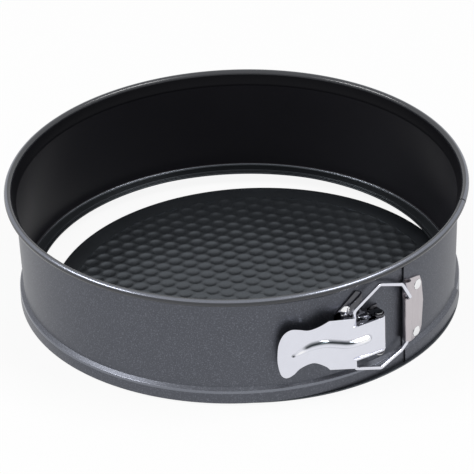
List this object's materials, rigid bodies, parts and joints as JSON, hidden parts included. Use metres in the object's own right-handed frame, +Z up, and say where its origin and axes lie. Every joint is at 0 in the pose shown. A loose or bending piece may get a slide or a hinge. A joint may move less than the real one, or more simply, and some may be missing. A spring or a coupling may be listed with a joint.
{
  "type": "springform pan",
  "caption": "Round springform cake pan: dark coated steel band with rolled rim, foot skirt and over-centre lever clasp, around a loose dimpled base plate.",
  "frame": {"origin": "on the band's axis at table level, the middle of the bounding box's bottom face", "axes": "+Z up along the band's axis; -Y towards the front; the clasp is at the front right, at about -50 degrees from +X"},
  "size_m": [0.2702, 0.2702, 0.0719],
  "materials": {
    "coated_base": "dark grey non-stick coating, smooth",
    "coated_band": "dark metallic grey non-stick coating, fine speckle",
    "bright_steel": "bright plated steel",
    "dark_steel": "dark polished steel",
    "chrome_plate": "polished plating",
    "satin_steel": "satin plated steel"
  },
  "bodies": {
    "base": {"base_plate": "coated_base"},
    "left_band": {"band_left": "coated_band", "lever_bracket": "dark_steel", "bracket_rivet_upper": "bright_steel", "bracket_rivet_lower": "bright_steel", "pivot_pin": "bright_steel"},
    "right_band": {"band_right": "coated_band", "catch_bracket": "satin_steel", "catch_rivet_upper": "bright_steel", "catch_rivet_lower": "bright_steel"},
    "clasp_lever": {"lever": "chrome_plate"},
    "clasp_bail": {"bail": "chrome_plate"}
  },
  "joints": [
    {"name": "ring_lift", "type": "slide", "parent": "base", "child": "left_band", "axis": [0, 0, 1], "range_m": [0, 0.09]},
    {"name": "lever_swing", "type": "hinge", "parent": "left_band", "child": "clasp_lever", "pos_m": [0.07692, -0.11067, 0.0336], "axis": [0, 0, 1], "range_deg": [0, 120]},
    {"name": "band_open", "type": "hinge", "parent": "left_band", "child": "right_band", "pos_m": [-0.0871, 0.1038, 0.036], "axis": [0, 0, 1], "range_deg": [0, 3.21]},
    {"name": "bail_swing", "type": "hinge", "parent": "right_band", "child": "clasp_bail", "pos_m": [0.094, -0.09141, 0.0336], "axis": [0, 0, 1], "range_deg": [0, 25.12]}
  ],
  "couplings": [
    {"joint": "band_open", "follows": "lever_swing", "ratio": 0.026623},
    {"joint": "bail_swing", "follows": "lever_swing", "ratio": 0.20895}
  ]
}
